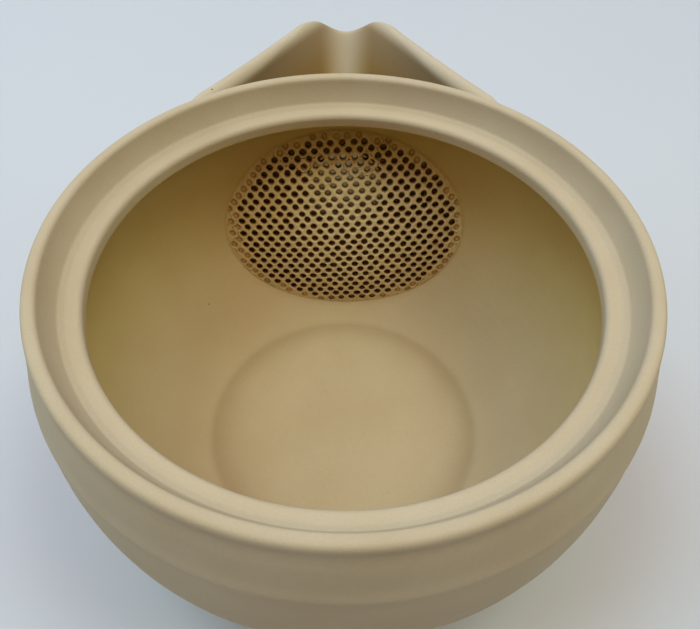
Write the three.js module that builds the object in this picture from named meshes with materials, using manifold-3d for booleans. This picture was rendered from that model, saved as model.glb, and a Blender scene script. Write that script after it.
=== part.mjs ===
// A handleless teapot in matt clay, for fine leaf tea.
// Five fired pieces: the thrown body, an open beak spout, a pierced strainer,
// and the two coils of clay that seal their seams.
// Millimetres. The origin is the middle of the flat base. +Z is up and the spout points along +Y.

import * as THREE from 'three';
import { mergeVertices } from 'three/addons/utils/BufferGeometryUtils.js';
import Module from 'manifold-3d';

const wasm = await Module();
wasm.setup();

// Body: heights count from the base, radii from the pot's axis.
const RIM_HEIGHT = 54.2; // middle of the rounded rim edge
const RIM_RADIUS = 46; // outermost point of that edge
const RIM_ROUND = 0.95; // half the thickness of that edge
const RIM_RISE = 1.6; // top of that edge above its middle
const RIM_WRAP = THREE.MathUtils.degToRad(20); // how far its rounding goes on below its middle
const NECK_DEPTH = 0.35; // how far the neck under the rim lies inside the rim
const NECK_DROP = 1.25; // neck's depth below the rim
const SHOULDER_DROP = 2.6; // where the outer wall starts, below the rim
const RIM_OVERHANG = 0.14; // rim beyond the line of the wall below it
const BELLY_SWELL = 2.5; // belly beyond the rim
const BELLY_DROP = 16.95; // widest point below the rim
const POLE_DROP = 6.45; // pole of the wall's lower curve, under the base that cuts it off
const LOWER_FULLNESS = 2.14; // exponent of the lower curve, 2 is an ellipse
const WALL = 2.7;
const FLOOR = 4; // thickness under the tea
const FLOOR_RING = 24.6; // radius of the crease round the flat floor
const FLOOR_CORNER = 1.2; // height of the corner between floor and wall
const BASE_ROUND = 1.2;
const BASE_WRAP = THREE.MathUtils.degToRad(15); // part of that rounding's quarter turn left to the wall

// Lid seat inside the rim.
const COVE_INSET = 3.5; // foot of the cove, where the ledge starts, inside the rim
const COVE_DROP = 2.6;
const LEDGE_INSET = 4.5; // outer edge of the flat ledge, inside the rim
const LEDGE_DROP = 3.85; // flat ledge below the rim's middle
const MOUTH_INSET = 7.05; // mouth inside the rim
const MOUTH_ROUND = 0.55;
const MOUTH_DEPTH = 2.3; // height of the mouth's upright face
const UNDERCUT_HOLLOW = 0.5; // how far the ledge's underside arches up
const THROAT_DROP = 8.8; // where the inner wall starts, below the rim

// Pour hole in the back wall.
const POUR_HOLE_RADIUS = 8.25;
const POUR_HOLE_DROP = 25;

// Spout: an open trough, measured on the middle of its wall.
const SPOUT_REACH = 24; // lip beyond the rim
const WING_ANGLE = THREE.MathUtils.degToRad(38); // how far round the body the spout's sides run
const TIP_HALF_WIDTH = 7.3;
const WING_PROUD = 1.75; // middle of each side beyond the rim's circle, sideways, where it ends
const SIDE_CURVE = 143; // radius of the sides' slow curve outwards, towards the body
const SPOUT_TOP_DROP = 0.2; // top edges below the middle of the rim
const LIP_FLOOR_DROP = 4.1; // lip's lowest point below the rim
const ROOT_FLOOR_DROP = 35.4; // trough's floor at the body
const FLOOR_SWEEP = 1.1; // exponent of the floor's rise, 1 is straight
const LIP_EDGE_THICKNESS = 2.6; // of the sides, at the lip
const ROOT_EDGE_THICKNESS = 4.2;
const LIP_FLOOR_THICKNESS = 3.4; // of the sloping floor, upright, at the lip
const ROOT_FLOOR_THICKNESS = 5.4;
const LIP_SECTION = 3.2; // exponent of the trough's section: a soft dip at the lip
const ROOT_SECTION = 1.2; // and nearly half an ellipse at the body
const SECTION_FADE = 4; // how fast the first gives way to the second
const LIP_CORNER = 2; // radius of the lip's two corners, seen from above
const LIP_ROUND = 1.3; // length over which the lip thins to its edge
const LIP_TURN = THREE.MathUtils.degToRad(80); // share of a quarter round that the lip has

// Strainer: a shallow dome of clay whose edge meets the inner wall all round.
const STRAINER_FOOT = 2; // its lowest edge above the floor
const STRAINER_HEAD = 0.5; // its highest edge below the throat
const STRAINER_BULGE = 4.62; // crown in front of the line between those edges
const DOME_RADIUS_ACROSS = 113.8;
const STRAINER_THICKNESS = 2.2;
const STRAINER_TRIM = 5; // border of the blank plate that is trimmed to the wall
const STRAINER_BORDER = 2.5; // border inside the edge without holes that go through
const HOLE_DIAMETER = 1.5;
const HOLE_SPACING = 2.338; // along a row
const ROW_SPACING = 1.366;
const ROW_TURN = THREE.MathUtils.degToRad(3.76);
const FIRST_HOLE_ACROSS = 0.32; // from the crown
const FIRST_HOLE_UP = 2.77;

// Seams.
const JOINT_GAP = 0.3; // slip-filled gap between two pieces
const STRAINER_BEAD = 0.65; // radius of the clay coil
const SPOUT_BEAD = 1.5;
const BEAD_MARGIN = THREE.MathUtils.degToRad(14); // part of the seam left bare at each top end of the spout

// Facets.
const TURN_SIDES = 48;
const WALL_STEPS = 8;
const ROUND_STEPS = 4;
const HOLE_SIDES = 4;
const SPOUT_STEPS = 10;
const TROUGH_STEPS = 16;
const BEAD_STEPS = 32;
const BEAD_SIDES = 6;
const DOME_STEPS = 6;
const LIP_STEPS = 3;
const COVE_STEPS = 3;
const POUR_HOLE_SIDES = 24;
const CUT_PAST = 1; // how far a cutter reaches past the face it cuts
const HALVINGS = 40; // of the interval in which a seam point is sought
const LEAST_SINE = 0.1; // keeps the trough's normal level with its section near the top edges

const clay = (name, color) => new THREE.MeshStandardMaterial({ name, color, roughness: 0.82, metalness: 0 });

const positionsOnly = (geometry) => {
  const bare = geometry.clone();
  bare.deleteAttribute('normal');
  bare.deleteAttribute('uv');
  return mergeVertices(bare, 1e-4);
};

const toSolid = (geometry) => {
  const merged = positionsOnly(geometry);
  return new wasm.Manifold(
    new wasm.Mesh({
      numProp: 3,
      vertProperties: new Float32Array(merged.attributes.position.array),
      triVerts: new Uint32Array(merged.index.array),
    }),
  );
};

const toGeometry = (solid) => {
  const mesh = solid.getMesh();
  const geometry = new THREE.BufferGeometry();
  geometry.setAttribute('position', new THREE.BufferAttribute(mesh.vertProperties, 3));
  geometry.setIndex(new THREE.BufferAttribute(mesh.triVerts, 1));
  geometry.computeVertexNormals();
  return geometry;
};

const bellyRadius = RIM_RADIUS + BELLY_SWELL;
const bellyHeight = RIM_HEIGHT - BELLY_DROP;
const mouthRadius = RIM_RADIUS - MOUTH_INSET;

// Half heights of the wall's oval. The upper one brings the wall to the rim, and the lower one to its pole.
const upperReach = BELLY_DROP / Math.sqrt(1 - ((RIM_RADIUS - RIM_OVERHANG) / bellyRadius) ** 2);
const lowerReach = bellyHeight + POLE_DROP;

// Radius of the wall at a height, set in from the outer face by an inset.
// Above the belly it is an ellipse, below it a slightly fuller superellipse.
const wallRadius = (height, inset) => {
  const aboveBelly = height - bellyHeight;
  const belly = bellyRadius - inset;
  if (aboveBelly > 0) {
    return belly * Math.sqrt(1 - (aboveBelly / upperReach) ** 2);
  }
  const share = Math.min(1, -aboveBelly / (lowerReach - inset));
  return belly * (1 - share ** LOWER_FULLNESS) ** (1 / LOWER_FULLNESS);
};

// Points of an oval arc in the half section, from one angle to another.
const arc = (radius, height, halfWidth, halfHeight, from, to, steps) =>
  Array.from({ length: steps + 1 }, (unused, step) => {
    const angle = from + ((to - from) * step) / steps;
    return new THREE.Vector2(radius + halfWidth * Math.cos(angle), height + halfHeight * Math.sin(angle));
  });

// Points of a wall face between two heights, closer together where the wall curves in.
const wallPoints = (from, to, inset, steps) => {
  const reachAt = (above) => (above > 0 ? upperReach : lowerReach - inset);
  const angleAt = (height) => {
    const above = height - bellyHeight;
    return Math.asin(THREE.MathUtils.clamp(above / reachAt(above), -1, 1));
  };
  const start = angleAt(from);
  const end = angleAt(to);
  return Array.from({ length: steps + 1 }, (unused, step) => {
    const angle = start + ((end - start) * step) / steps;
    const height = bellyHeight + reachAt(angle) * Math.sin(angle);
    return new THREE.Vector2(wallRadius(height, inset), height);
  });
};

const turned = (profile) => {
  const geometry = new THREE.LatheGeometry(profile, TURN_SIDES);
  geometry.rotateX(Math.PI / 2);
  return geometry;
};

const baseRadius = wallRadius(BASE_ROUND, 0) - BASE_ROUND;
const shoulderHeight = RIM_HEIGHT - SHOULDER_DROP;
const throatHeight = RIM_HEIGHT - THROAT_DROP;
const ledgeHeight = RIM_HEIGHT - LEDGE_DROP;
const mouthFoot = ledgeHeight - MOUTH_DEPTH;

// The body's half section, from the middle of the base up the outside,
// over the rim, down through the mouth and back to the axis on the floor.
const bodyProfile = () => {
  const neckRadius = RIM_RADIUS - NECK_DEPTH;
  const rimMiddle = RIM_RADIUS - RIM_ROUND;
  const rimInside = rimMiddle - RIM_ROUND;
  const coveHeight = RIM_HEIGHT - COVE_DROP;
  const cove = new THREE.QuadraticBezierCurve(
    new THREE.Vector2(rimInside, RIM_HEIGHT),
    new THREE.Vector2(rimInside, coveHeight),
    new THREE.Vector2(RIM_RADIUS - COVE_INSET, coveHeight),
  );
  const mouthRounding = mouthRadius + MOUTH_ROUND;
  const throatRadius = wallRadius(throatHeight, WALL);
  return [
    new THREE.Vector2(0, 0),
    ...arc(baseRadius, BASE_ROUND, BASE_ROUND, BASE_ROUND, -Math.PI / 2, -BASE_WRAP, 2),
    ...wallPoints(2 * BASE_ROUND, shoulderHeight, 0, WALL_STEPS),
    new THREE.Vector2(neckRadius, RIM_HEIGHT - NECK_DROP),
    ...arc(rimMiddle, RIM_HEIGHT, RIM_ROUND, RIM_RISE, -RIM_WRAP, Math.PI - RIM_WRAP, ROUND_STEPS),
    ...cove.getPoints(COVE_STEPS),
    new THREE.Vector2(RIM_RADIUS - LEDGE_INSET, ledgeHeight),
    ...arc(mouthRounding, ledgeHeight - MOUTH_ROUND, MOUTH_ROUND, MOUTH_ROUND, Math.PI / 2, Math.PI, 2),
    new THREE.Vector2(mouthRadius, mouthFoot),
    new THREE.Vector2((mouthRadius + throatRadius) / 2, (mouthFoot + throatHeight) / 2 + UNDERCUT_HOLLOW),
    ...wallPoints(throatHeight, FLOOR + FLOOR_CORNER, WALL, WALL_STEPS),
    new THREE.Vector2(FLOOR_RING, FLOOR),
    new THREE.Vector2(0, FLOOR),
  ];
};

// Everything inside the body's outer face, grown by a clearance. What joins the outside is cut to it.
const bodyEnvelope = (clearance) =>
  turned([
    new THREE.Vector2(0, -CUT_PAST),
    new THREE.Vector2(baseRadius, -CUT_PAST),
    ...wallPoints(0, RIM_HEIGHT + RIM_RISE, -clearance, WALL_STEPS * 2),
    new THREE.Vector2(0, RIM_HEIGHT + RIM_RISE),
  ]);

// The hollow that the inner wall encloses, drawn in by a clearance. What joins the inside is cut to it.
const bodyHollow = (clearance) =>
  turned([
    new THREE.Vector2(0, FLOOR + clearance),
    new THREE.Vector2(FLOOR_RING, FLOOR + clearance),
    ...wallPoints(FLOOR + FLOOR_CORNER + clearance, throatHeight, WALL + clearance, WALL_STEPS),
    new THREE.Vector2(mouthRadius, mouthFoot),
    new THREE.Vector2(0, mouthFoot),
  ]);

const makeBody = () => {
  const hole = new THREE.CylinderGeometry(POUR_HOLE_RADIUS, POUR_HOLE_RADIUS, bellyRadius, POUR_HOLE_SIDES);
  hole.translate(0, bellyRadius, RIM_HEIGHT - POUR_HOLE_DROP);
  return toGeometry(toSolid(turned(bodyProfile())).subtract(toSolid(hole)));
};

// Joins rings of equal length along +Y into a closed skin and closes its two ends.
// A ring runs counter-clockwise for an eye that looks along +Y.
const loft = (rings) => {
  const count = rings[0].length;
  const positions = rings.flat().flatMap((point) => [point.x, point.y, point.z]);
  const index = [];
  for (let ring = 0; ring + 1 < rings.length; ring += 1) {
    for (let side = 0; side < count; side += 1) {
      const a = ring * count + side;
      const b = ring * count + ((side + 1) % count);
      index.push(a, a + count, b, b, a + count, b + count);
    }
  }
  const sectionPoint = (point) => new THREE.Vector2(point.x, point.z);
  const cap = (ring, flip) => {
    for (const [a, b, c] of THREE.ShapeUtils.triangulateShape(rings[ring].map(sectionPoint), [])) {
      const start = ring * count;
      index.push(...(flip ? [start + a, start + c, start + b] : [start + a, start + b, start + c]));
    }
  };
  cap(0, false);
  cap(rings.length - 1, true);
  const geometry = new THREE.BufferGeometry();
  geometry.setAttribute('position', new THREE.Float32BufferAttribute(positions, 3));
  geometry.setIndex(index);
  return geometry;
};

const spoutTip = RIM_RADIUS + SPOUT_REACH;
const spoutStart = RIM_RADIUS * Math.cos(WING_ANGLE);

// Slope of the spout's sides at the lip. It brings them out to the body where they end.
const sideSlope =
  (RIM_RADIUS * Math.sin(WING_ANGLE) + WING_PROUD - TIP_HALF_WIDTH) / (spoutTip - spoutStart) -
  (spoutTip - spoutStart) / (2 * SIDE_CURVE);

// The trough's wall at a reach. Its section hangs between two top edges and deepens towards the body.
const troughSize = (reach) => {
  const fromTip = spoutTip - reach;
  const share = THREE.MathUtils.clamp(fromTip / (spoutTip - bellyRadius), 0, 1);
  const between = (lip, root) => THREE.MathUtils.lerp(lip, root, share);
  const edgeThickness = between(LIP_EDGE_THICKNESS, ROOT_EDGE_THICKNESS);
  const edgeDrop = SPOUT_TOP_DROP + edgeThickness / 2;
  const floorDrop = THREE.MathUtils.lerp(LIP_FLOOR_DROP, ROOT_FLOOR_DROP, share ** FLOOR_SWEEP);
  return {
    halfWidth: TIP_HALF_WIDTH + sideSlope * fromTip + fromTip ** 2 / (2 * SIDE_CURVE),
    edgeHeight: RIM_HEIGHT - edgeDrop,
    depth: floorDrop - edgeDrop,
    edgeThickness,
    floorThickness: between(LIP_FLOOR_THICKNESS, ROOT_FLOOR_THICKNESS),
    power: THREE.MathUtils.lerp(ROOT_SECTION, LIP_SECTION, (1 - share) ** SECTION_FADE),
  };
};

// Outward direction of the section at a turn: 0 is the left top edge, half a turn the right one.
const troughNormal = ({ halfWidth, depth, power }, turn) => {
  const steepness = depth * power * Math.max(Math.sin(turn), LEAST_SINE) ** (power - 2);
  return new THREE.Vector2(-Math.cos(turn) * steepness, -halfWidth).normalize();
};

// A point of the trough's wall. The side is +1 for the outer face and -1 for the inner,
// and the clearance is added outwards.
const troughPoint = (reach, turn, side, fullness, clearance) => {
  const size = troughSize(reach);
  const normal = troughNormal(size, turn);
  const thickness = THREE.MathUtils.lerp(size.edgeThickness, size.floorThickness, Math.sin(turn) ** 2);
  const offset = side * (thickness / 2) * fullness + clearance;
  return new THREE.Vector3(
    -Math.cos(turn) * size.halfWidth + normal.x * offset,
    reach,
    size.edgeHeight - Math.sin(turn) ** size.power * size.depth + normal.y * offset,
  );
};

const troughTurns = Array.from({ length: TROUGH_STEPS + 1 }, (unused, step) => (Math.PI * step) / TROUGH_STEPS);

// Where a line along the trough ends: the lip's corners are rounded, seen from above.
const lineEnd = (turn) => {
  const pastCorner = Math.abs(Math.cos(turn)) * TIP_HALF_WIDTH - (TIP_HALF_WIDTH - LIP_CORNER);
  const share = THREE.MathUtils.clamp(pastCorner / LIP_CORNER, 0, 1);
  return spoutTip - LIP_CORNER * (1 - Math.sqrt(1 - share ** 2));
};

// The rounded top edge on the right, from the outer face to the inner.
const roundedEdge = (reach, fullness) => {
  const size = troughSize(reach);
  const normal = troughNormal(size, Math.PI);
  const radius = (size.edgeThickness / 2) * fullness;
  return Array.from({ length: ROUND_STEPS - 1 }, (unused, step) => {
    const angle = (Math.PI * (step + 1)) / ROUND_STEPS;
    const out = radius * Math.cos(angle);
    const up = radius * Math.sin(angle);
    return new THREE.Vector3(
      size.halfWidth + normal.x * out - normal.y * up,
      reach,
      size.edgeHeight + normal.y * out + normal.x * up,
    );
  });
};

// One section of the spout, across the trough: outer face, right edge, inner face, left edge.
const troughRing = (reachAt, fullness) => {
  const outer = troughTurns.map((turn) => troughPoint(reachAt(turn), turn, 1, fullness, 0));
  const inner = troughTurns.map((turn) => troughPoint(reachAt(turn), turn, -1, fullness, 0)).reverse();
  const edge = roundedEdge(reachAt(0), fullness);
  const mirrored = edge.map((point) => new THREE.Vector3(-point.x, point.y, point.z)).reverse();
  return [...outer, ...edge, ...inner, ...mirrored];
};

const makeSpout = () => {
  const lipStart = (turn) => lineEnd(turn) - LIP_ROUND;
  const body = Array.from({ length: SPOUT_STEPS + 1 }, (unused, step) =>
    troughRing((turn) => THREE.MathUtils.lerp(spoutStart, lipStart(turn), step / SPOUT_STEPS), 1),
  );
  const lip = Array.from({ length: LIP_STEPS }, (unused, step) => {
    const angle = (LIP_TURN * (step + 1)) / LIP_STEPS;
    const past = (LIP_ROUND * Math.sin(angle)) / Math.sin(LIP_TURN);
    return troughRing((turn) => lipStart(turn) + past, Math.cos(angle));
  });
  return toGeometry(toSolid(loft([...body, ...lip])).subtract(toSolid(bodyEnvelope(JOINT_GAP))));
};

// The spout with its trough filled in and its outer face grown by a clearance.
const filledSpout = (clearance) => {
  const top = RIM_HEIGHT + RIM_RISE + clearance;
  const rings = Array.from({ length: SPOUT_STEPS + 1 }, (unused, step) => {
    const reach = THREE.MathUtils.lerp(spoutStart - clearance, spoutTip, step / SPOUT_STEPS);
    const outer = troughTurns.map((turn) => troughPoint(reach, turn, 1, 1, clearance));
    const left = outer[0];
    const right = outer[outer.length - 1];
    return [...outer, new THREE.Vector3(right.x, reach, top), new THREE.Vector3(left.x, reach, top)];
  });
  return loft(rings);
};

// Finds where a measure that grows with its argument reaches zero, by halving.
const solve = (measure, from, to) => {
  let low = from;
  let high = to;
  for (let halving = 0; halving < HALVINGS; halving += 1) {
    const middle = (low + high) / 2;
    if (measure(middle) > 0) {
      high = middle;
    } else {
      low = middle;
    }
  }
  return (low + high) / 2;
};

// The seam runs where the trough's outer face meets the body, down one side and up the other.
const makeSpoutBead = () => {
  const seam = Array.from({ length: BEAD_STEPS + 1 }, (unused, step) => {
    const turn = BEAD_MARGIN + ((Math.PI - 2 * BEAD_MARGIN) * step) / BEAD_STEPS;
    const outside = (reach) => {
      const point = troughPoint(reach, turn, 1, 1, JOINT_GAP);
      return Math.hypot(point.x, point.y) - wallRadius(point.z, -JOINT_GAP);
    };
    return troughPoint(solve(outside, spoutStart, spoutTip), turn, 1, 1, JOINT_GAP);
  });
  const section = new THREE.Shape();
  section.absarc(0, 0, SPOUT_BEAD, 0, 2 * Math.PI, false);
  const coil = new THREE.ExtrudeGeometry(section, {
    extrudePath: new THREE.CatmullRomCurve3(seam),
    steps: BEAD_STEPS,
    curveSegments: BEAD_SIDES / 2,
    bevelEnabled: false,
  });
  const bead = toSolid(coil)
    .subtract(toSolid(bodyEnvelope(JOINT_GAP)))
    .subtract(toSolid(filledSpout(JOINT_GAP)));
  return toGeometry(bead);
};

// In the middle plane the strainer springs from two points of the inner wall, given as reach and height.
const plateEnd = (height) => new THREE.Vector2(wallRadius(height, WALL), height);
const plateFoot = plateEnd(FLOOR + STRAINER_FOOT);
const plateChord = plateEnd(throatHeight - STRAINER_HEAD).sub(plateFoot);
const plateHalfHeight = plateChord.length() / 2;
const domeRadiusUpright = plateHalfHeight ** 2 / (2 * STRAINER_BULGE);

// The strainer's own directions: up the plate, and out of its crown into the pot.
const plateUp = new THREE.Vector3(0, plateChord.x, plateChord.y).normalize();
const plateOut = new THREE.Vector3(0, -plateUp.z, plateUp.y);
const plateCrown = new THREE.Vector3(0, plateFoot.x, plateFoot.y)
  .addScaledVector(plateUp, plateHalfHeight)
  .addScaledVector(plateOut, STRAINER_BULGE);

const domeFall = (across, up) => across ** 2 / (2 * DOME_RADIUS_ACROSS) + up ** 2 / (2 * domeRadiusUpright);

// A point over the plate: its place across and up, and its depth behind the front face.
const platePoint = (across, up, behind) =>
  new THREE.Vector3(across, 0, 0)
    .add(plateCrown)
    .addScaledVector(plateUp, up)
    .addScaledVector(plateOut, -domeFall(across, up) - behind);

// How far from the crown the front face meets the inner wall, at an angle seen along the plate's axis.
const seamSize = (angle, clearance) => {
  const outside = (size) => {
    const point = platePoint(size * Math.cos(angle), size * Math.sin(angle), -clearance);
    return Math.hypot(point.x, point.y) - wallRadius(point.z, WALL + clearance);
  };
  return solve(outside, 0, bellyRadius);
};

const plateHalfWidth = seamSize(0, 0);
const blankHalfWidth = plateHalfWidth + STRAINER_TRIM;
const blankHalfHeight = plateHalfHeight + STRAINER_TRIM;

// Centres of the holes that go right through, in rows that alternate by half a spacing.
const holeCentres = () => {
  const centres = [];
  const halfWidth = plateHalfWidth - STRAINER_BORDER;
  const halfHeight = plateHalfHeight - STRAINER_BORDER;
  const reach = Math.ceil((2 * plateHalfWidth) / Math.min(ROW_SPACING, HOLE_SPACING));
  for (let row = -reach; row <= reach; row += 1) {
    for (let place = -reach; place <= reach; place += 1) {
      const along = HOLE_SPACING * (place + (row % 2 === 0 ? 0 : 0.5));
      const centre = new THREE.Vector2(along, ROW_SPACING * row).rotateAround(new THREE.Vector2(), ROW_TURN);
      centre.add(new THREE.Vector2(FIRST_HOLE_ACROSS, FIRST_HOLE_UP));
      if ((centre.x / halfWidth) ** 2 + (centre.y / halfHeight) ** 2 < 1) {
        centres.push(centre);
      }
    }
  }
  return centres;
};

const holeOutline = (centre) => {
  const path = new THREE.Path();
  // The polygon has the area of the round hole.
  const sideAngle = (2 * Math.PI) / HOLE_SIDES;
  const corner = (HOLE_DIAMETER / 2) * Math.sqrt(sideAngle / Math.sin(sideAngle));
  path.setFromPoints(
    Array.from({ length: HOLE_SIDES }, (unused, side) => {
      const angle = ROW_TURN - sideAngle * side;
      return new THREE.Vector2(centre.x + corner * Math.cos(angle), centre.y + corner * Math.sin(angle));
    }),
  );
  path.closePath();
  return path;
};

// Bends a flat blank, which lies on its back from zero to its thickness, into the dome.
// Its front face stands forward by a clearance.
const bend = (flat, forward, thickness) => {
  const blank = positionsOnly(flat);
  const place = blank.attributes.position;
  for (let vertex = 0; vertex < place.count; vertex += 1) {
    const behind = thickness - forward - place.getZ(vertex);
    const bent = platePoint(place.getX(vertex), place.getY(vertex), behind);
    place.setXYZ(vertex, bent.x, bent.y, bent.z);
  }
  return toSolid(blank);
};

const piercedBlank = () => {
  const outline = new THREE.Shape();
  outline.absellipse(0, 0, blankHalfWidth, blankHalfHeight, 0, 2 * Math.PI, false);
  outline.holes = holeCentres().map(holeOutline);
  const settings = { depth: STRAINER_THICKNESS, bevelEnabled: false, curveSegments: TURN_SIDES / 2 };
  return bend(new THREE.ExtrudeGeometry(outline, settings), 0, STRAINER_THICKNESS);
};

const plainBlank = (forward, thickness) => {
  const shares = Array.from({ length: DOME_STEPS + 1 }, (unused, step) => step / DOME_STEPS);
  const front = shares.map((share) => new THREE.Vector2(share, 1));
  const back = front.map((point) => new THREE.Vector2(point.x, 0));
  const flat = turned([...back, ...front.reverse()]);
  flat.scale(blankHalfWidth, blankHalfHeight, thickness);
  return bend(flat, forward, thickness);
};

const makeStrainer = () => toGeometry(piercedBlank().intersect(toSolid(bodyHollow(JOINT_GAP))));

// The seam runs all round the strainer, where its front face meets the inner wall.
const strainerSeam = (angle) => {
  const size = seamSize(angle, JOINT_GAP);
  return platePoint(size * Math.cos(angle), size * Math.sin(angle), -JOINT_GAP);
};

// A round ring, laid along the seam and trimmed by the wall and the strainer.
const makeStrainerBead = () => {
  const tube = 0.5;
  const coil = positionsOnly(new THREE.TorusGeometry(1, tube, BEAD_SIDES, BEAD_STEPS));
  const place = coil.attributes.position;
  for (let vertex = 0; vertex < place.count; vertex += 1) {
    const angle = Math.atan2(place.getY(vertex), place.getX(vertex));
    const sideways = ((Math.hypot(place.getX(vertex), place.getY(vertex)) - 1) / tube) * STRAINER_BEAD;
    const point = strainerSeam(angle)
      .addScaledVector(plateUp, Math.sin(angle) * sideways)
      .addScaledVector(plateOut, (place.getZ(vertex) / tube) * STRAINER_BEAD);
    place.setXYZ(vertex, point.x + Math.cos(angle) * sideways, point.y, point.z);
  }
  const bead = toSolid(coil)
    .intersect(toSolid(bodyHollow(JOINT_GAP)))
    .subtract(plainBlank(JOINT_GAP, STRAINER_THICKNESS + 4 * STRAINER_BEAD));
  return toGeometry(bead);
};

const pieces = [
  ['body_bowl', makeBody, 0xb7a57f],
  ['spout', makeSpout, 0xb7a57f],
  ['strainer', makeStrainer, 0xb09a6e],
  ['strainer_luting_bead', makeStrainerBead, 0xad9b76],
  ['spout_luting_bead', makeSpoutBead, 0xad9b76],
];

const group = new THREE.Group();
for (const [name, make, color] of pieces) {
  const mesh = new THREE.Mesh(make(), clay(name, color));
  mesh.name = name;
  group.add(mesh);
}

export default group;
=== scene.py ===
"""Looks of a handleless teapot in matt clay: a thrown body, a beak spout, a pierced strainer and two seams.

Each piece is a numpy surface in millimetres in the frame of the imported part, and its mesh is in metres.
+Z is up, the spout points along +Y and the origin is the middle of the flat base.
"""

import logging
from dataclasses import dataclass, field
from enum import Enum
from typing import Callable, Optional

import bmesh
import bpy
import numpy as np
from mathutils import Matrix, Vector


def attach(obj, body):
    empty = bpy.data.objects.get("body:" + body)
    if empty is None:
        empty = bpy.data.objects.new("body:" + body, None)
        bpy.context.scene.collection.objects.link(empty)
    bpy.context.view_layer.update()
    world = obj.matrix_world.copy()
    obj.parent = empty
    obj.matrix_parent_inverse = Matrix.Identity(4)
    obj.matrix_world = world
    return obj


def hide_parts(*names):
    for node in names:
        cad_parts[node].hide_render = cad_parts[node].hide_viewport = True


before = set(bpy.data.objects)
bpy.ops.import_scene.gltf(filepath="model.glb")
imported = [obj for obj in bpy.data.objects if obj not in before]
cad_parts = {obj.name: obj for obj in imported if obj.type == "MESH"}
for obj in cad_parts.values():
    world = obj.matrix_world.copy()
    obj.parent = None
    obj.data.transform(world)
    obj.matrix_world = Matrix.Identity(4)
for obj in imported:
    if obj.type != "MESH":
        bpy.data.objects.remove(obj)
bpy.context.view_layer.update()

log = logging.getLogger("teapot")

MM = 0.001
SHORTEST_EDGE = 1e-7
LEAST_SIZE = 1e-6
IMAGE_WIDTH = 700
# Places of a mix node's factor and two colours among its inputs, and of the mixed colour among its outputs.
MIX_INPUTS = (0, 6, 7)
MIX_OUTPUT = 2

Array = np.ndarray
Outlines = list[tuple[Array, float]]
Piece = bpy.types.Object
Tree = bpy.types.NodeTree
Socket = bpy.types.NodeSocket
Source = Socket | tuple | float


def smooth_step(value: Array, low: float, high: float) -> Array:
    """Ease from 0 to 1 by 3 t squared minus 2 t cubed, where t is the value's share between two limits.

    Args:
        value: The numbers to ease.
        low: Where the result leaves 0.
        high: Where the result reaches 1.

    Returns:
        The eased numbers, each from 0 to 1.
    """
    share = np.clip((value - low) / (high - low), 0.0, 1.0)
    return share * share * (3.0 - 2.0 * share)


def bisect(measure: Callable[[Array], Array], low: Array, high: Array, halvings: int = 34) -> Array:
    """Find where growing measures reach zero, for a whole array of intervals at once.

    Args:
        measure: Gives the measure at an array of arguments.
        low: Lower ends, where the measure is below zero.
        high: Upper ends, where it is above zero.
        halvings: How often each interval is halved.

    Returns:
        The arguments at which the measures reach zero.
    """
    low, high = np.array(low, float), np.array(high, float)
    for _ in range(halvings):
        middle = 0.5 * (low + high)
        above = measure(middle) > 0.0
        high = np.where(above, middle, high)
        low = np.where(above, low, middle)
    return 0.5 * (low + high)


def grid_faces(rows: int, columns: int, close_rows: bool, close_columns: bool) -> Array:
    """List the quads of a grid of points, row by row.

    Args:
        rows: Number of rows of points.
        columns: Number of points in a row.
        close_rows: Whether the last row joins the first.
        close_columns: Whether each row's last point joins its first.

    Returns:
        An array of quads, four point numbers each.
    """
    i = np.arange(rows if close_rows else rows - 1)
    j = np.arange(columns if close_columns else columns - 1)
    i, j = np.meshgrid(i, j, indexing="ij")
    a = i * columns + j
    b = i * columns + (j + 1) % columns
    c = ((i + 1) % rows) * columns + (j + 1) % columns
    d = ((i + 1) % rows) * columns + j
    return np.stack([a, b, c, d], axis=-1).reshape(-1, 4)


def make_object(name: str, points: Array, quads: Array, triangles: Optional[Array] = None) -> Piece:
    """Put points and faces into a smooth mesh object that sits at the origin.

    Args:
        name: The piece's name.
        points: Places in millimetres, one row each.
        quads: Faces with four corners.
        triangles: Faces with three corners, if any.

    Returns:
        The new object, linked to the scene.
    """
    mesh = bpy.data.meshes.new(name)
    faces = quads.tolist() + ([] if triangles is None else triangles.tolist())
    mesh.from_pydata((points * MM).tolist(), [], faces)
    mesh.polygons.foreach_set("use_smooth", np.ones(len(faces), bool))
    mesh.update()
    piece = bpy.data.objects.new(name, mesh)
    bpy.context.scene.collection.objects.link(piece)
    return piece


def weld(piece: Piece, distance: float = 0.001) -> None:
    """Merge a mesh's points that lie closer than a distance and turn its faces outwards.

    Args:
        piece: The object whose mesh is welded.
        distance: In millimetres.
    """
    work = bmesh.new()
    work.from_mesh(piece.data)
    bmesh.ops.remove_doubles(work, verts=work.verts, dist=distance * MM)
    bmesh.ops.dissolve_degenerate(work, edges=work.edges, dist=SHORTEST_EDGE)
    bmesh.ops.recalc_face_normals(work, faces=work.faces)
    work.to_mesh(piece.data)
    work.free()
    piece.data.update()


def mesh_points(piece: Piece) -> Array:
    """Read a mesh's points.

    Args:
        piece: The object.

    Returns:
        Its points in millimetres, one row each.
    """
    points = np.empty(3 * len(piece.data.vertices), np.float32)
    piece.data.vertices.foreach_get("co", points)
    return points.reshape(-1, 3).astype(float) / MM


def apply_modifiers(piece: Piece) -> None:
    """Replace a piece's mesh by what its modifiers make of it.

    Args:
        piece: The object.
    """
    bpy.context.view_layer.update()
    evaluated = piece.evaluated_get(bpy.context.evaluated_depsgraph_get())
    result = bpy.data.meshes.new_from_object(evaluated)
    piece.modifiers.clear()
    old = piece.data
    piece.data = result
    bpy.data.meshes.remove(old)
    result.name = piece.name


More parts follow.
